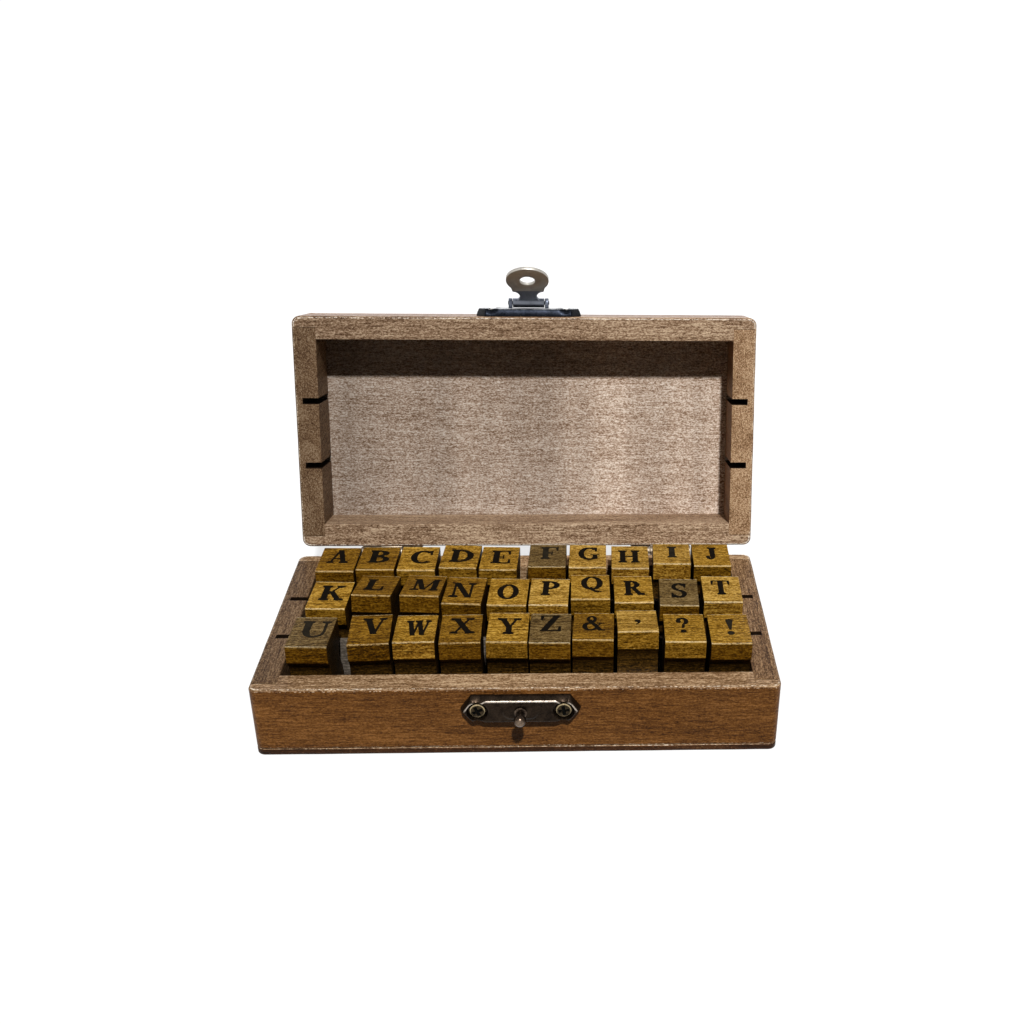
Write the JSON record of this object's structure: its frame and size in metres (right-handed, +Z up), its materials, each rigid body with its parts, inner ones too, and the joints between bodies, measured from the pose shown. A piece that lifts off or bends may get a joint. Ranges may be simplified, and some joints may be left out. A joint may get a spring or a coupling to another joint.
{
  "type": "stamp box",
  "caption": "Hinged wooden box with divider rows of wooden letter stamps, an open lid on two stop hinges, and a hasp that closes over a ball stud.",
  "frame": {"origin": "middle of the flat underside of the base", "axes": "+X to the right along the front, +Y to the back where the hinges are, +Z up"},
  "size_m": [0.1506, 0.1261, 0.1152],
  "materials": {
    "box_wood": "thin brown varnish on straight-grained boards, dry and paler on the rims",
    "panel_wood": "unvarnished thin plywood with a fine grain and pale cross bands",
    "divider_wood": "bare thin plywood strip",
    "stamp_wood": "golden brown stain with a satin varnish",
    "hinge_metal": "antiqued dark plating, worn at the edges",
    "latch_metal": "antiqued dark plating, worn bright at the edges"
  },
  "bodies": {
    "base": {"base_bottom_panel": "panel_wood", "base_front_wall": "box_wood", "base_back_wall": "box_wood", "base_left_wall": "box_wood", "base_right_wall": "box_wood", "rear_divider": "divider_wood", "front_divider": "divider_wood", "catch_plate": "latch_metal", "catch_stud": "latch_metal", "catch_plate_screws": "latch_metal", "left_hinge_base_leaf": "hinge_metal", "right_hinge_base_leaf": "hinge_metal", "left_hinge_pin": "hinge_metal", "right_hinge_pin": "hinge_metal", "base_hinge_screws": "hinge_metal"},
    "lid": {"lid_top_panel": "panel_wood", "lid_front_wall": "box_wood", "lid_back_wall": "box_wood", "lid_left_wall": "box_wood", "lid_right_wall": "box_wood", "left_hinge_lid_leaf": "hinge_metal", "right_hinge_lid_leaf": "hinge_metal", "lid_hinge_screws": "hinge_metal", "hasp_plate": "latch_metal", "hasp_plate_screws": "latch_metal", "hasp_pin": "latch_metal"},
    "flap": {"hasp_flap": "latch_metal"},
    "stamp_a": {"stamp_a": "stamp_wood"},
    "stamp_b": {"stamp_b": "stamp_wood"},
    "stamp_c": {"stamp_c": "stamp_wood"},
    "stamp_d": {"stamp_d": "stamp_wood"},
    "stamp_e": {"stamp_e": "stamp_wood"},
    "stamp_f": {"stamp_f": "stamp_wood"},
    "stamp_g": {"stamp_g": "stamp_wood"},
    "stamp_h": {"stamp_h": "stamp_wood"},
    "stamp_i": {"stamp_i": "stamp_wood"},
    "stamp_j": {"stamp_j": "stamp_wood"},
    "stamp_k": {"stamp_k": "stamp_wood"},
    "stamp_l": {"stamp_l": "stamp_wood"},
    "stamp_m": {"stamp_m": "stamp_wood"},
    "stamp_n": {"stamp_n": "stamp_wood"},
    "stamp_o": {"stamp_o": "stamp_wood"},
    "stamp_p": {"stamp_p": "stamp_wood"},
    "stamp_q": {"stamp_q": "stamp_wood"},
    "stamp_r": {"stamp_r": "stamp_wood"},
    "stamp_s": {"stamp_s": "stamp_wood"},
    "stamp_t": {"stamp_t": "stamp_wood"},
    "stamp_u": {"stamp_u": "stamp_wood"},
    "stamp_v": {"stamp_v": "stamp_wood"},
    "stamp_w": {"stamp_w": "stamp_wood"},
    "stamp_x": {"stamp_x": "stamp_wood"},
    "stamp_y": {"stamp_y": "stamp_wood"},
    "stamp_z": {"stamp_z": "stamp_wood"},
    "stamp_ampersand": {"stamp_ampersand": "stamp_wood"},
    "stamp_apostrophe": {"stamp_apostrophe": "stamp_wood"},
    "stamp_question": {"stamp_question": "stamp_wood"},
    "stamp_exclamation": {"stamp_exclamation": "stamp_wood"}
  },
  "joints": [
    {"name": "lid_hinge", "type": "hinge", "parent": "base", "child": "lid", "pos_m": [0, 0.03995, 0.0225], "axis": [-1, 0, 0], "range_deg": [-106, 0]},
    {"name": "flap_hinge", "type": "hinge", "parent": "lid", "child": "flap", "pos_m": [0.0013, 0.06828, 0.09989], "axis": [-1, 0, 0], "range_deg": [-41, 130]},
    {"name": "lift_a", "type": "slide", "parent": "base", "child": "stamp_a", "axis": [0, 0, 1], "range_m": [0, 0.04]},
    {"name": "lift_b", "type": "slide", "parent": "base", "child": "stamp_b", "axis": [0, 0, 1], "range_m": [0, 0.04]},
    {"name": "lift_c", "type": "slide", "parent": "base", "child": "stamp_c", "axis": [0, 0, 1], "range_m": [0, 0.04]},
    {"name": "lift_d", "type": "slide", "parent": "base", "child": "stamp_d", "axis": [0, 0, 1], "range_m": [0, 0.04]},
    {"name": "lift_e", "type": "slide", "parent": "base", "child": "stamp_e", "axis": [0, 0, 1], "range_m": [0, 0.04]},
    {"name": "lift_f", "type": "slide", "parent": "base", "child": "stamp_f", "axis": [0, 0, 1], "range_m": [0, 0.04]},
    {"name": "lift_g", "type": "slide", "parent": "base", "child": "stamp_g", "axis": [0, 0, 1], "range_m": [0, 0.04]},
    {"name": "lift_h", "type": "slide", "parent": "base", "child": "stamp_h", "axis": [0, 0, 1], "range_m": [0, 0.04]},
    {"name": "lift_i", "type": "slide", "parent": "base", "child": "stamp_i", "axis": [0, 0, 1], "range_m": [0, 0.04]},
    {"name": "lift_j", "type": "slide", "parent": "base", "child": "stamp_j", "axis": [0, 0, 1], "range_m": [0, 0.04]},
    {"name": "lift_k", "type": "slide", "parent": "base", "child": "stamp_k", "axis": [0, 0, 1], "range_m": [0, 0.04]},
    {"name": "lift_l", "type": "slide", "parent": "base", "child": "stamp_l", "axis": [0, 0, 1], "range_m": [0, 0.04]},
    {"name": "lift_m", "type": "slide", "parent": "base", "child": "stamp_m", "axis": [0, 0, 1], "range_m": [0, 0.04]},
    {"name": "lift_n", "type": "slide", "parent": "base", "child": "stamp_n", "axis": [0, 0, 1], "range_m": [0, 0.04]},
    {"name": "lift_o", "type": "slide", "parent": "base", "child": "stamp_o", "axis": [0, 0, 1], "range_m": [0, 0.04]},
    {"name": "lift_p", "type": "slide", "parent": "base", "child": "stamp_p", "axis": [0, 0, 1], "range_m": [0, 0.04]},
    {"name": "lift_q", "type": "slide", "parent": "base", "child": "stamp_q", "axis": [0, 0, 1], "range_m": [0, 0.04]},
    {"name": "lift_r", "type": "slide", "parent": "base", "child": "stamp_r", "axis": [0, 0, 1], "range_m": [0, 0.04]},
    {"name": "lift_s", "type": "slide", "parent": "base", "child": "stamp_s", "axis": [0, 0, 1], "range_m": [0, 0.04]},
    {"name": "lift_t", "type": "slide", "parent": "base", "child": "stamp_t", "axis": [0, 0, 1], "range_m": [0, 0.04]},
    {"name": "lift_u", "type": "slide", "parent": "base", "child": "stamp_u", "axis": [0, 0, 1], "range_m": [0, 0.04]},
    {"name": "lift_v", "type": "slide", "parent": "base", "child": "stamp_v", "axis": [0, 0, 1], "range_m": [0, 0.04]},
    {"name": "lift_w", "type": "slide", "parent": "base", "child": "stamp_w", "axis": [0, 0, 1], "range_m": [0, 0.04]},
    {"name": "lift_x", "type": "slide", "parent": "base", "child": "stamp_x", "axis": [0, 0, 1], "range_m": [0, 0.04]},
    {"name": "lift_y", "type": "slide", "parent": "base", "child": "stamp_y", "axis": [0, 0, 1], "range_m": [0, 0.04]},
    {"name": "lift_z", "type": "slide", "parent": "base", "child": "stamp_z", "axis": [0, 0, 1], "range_m": [0, 0.04]},
    {"name": "lift_ampersand", "type": "slide", "parent": "base", "child": "stamp_ampersand", "axis": [0, 0, 1], "range_m": [0, 0.04]},
    {"name": "lift_apostrophe", "type": "slide", "parent": "base", "child": "stamp_apostrophe", "axis": [0, 0, 1], "range_m": [0, 0.04]},
    {"name": "lift_question", "type": "slide", "parent": "base", "child": "stamp_question", "axis": [0, 0, 1], "range_m": [0, 0.04]},
    {"name": "lift_exclamation", "type": "slide", "parent": "base", "child": "stamp_exclamation", "axis": [0, 0, 1], "range_m": [0, 0.04]}
  ]
}
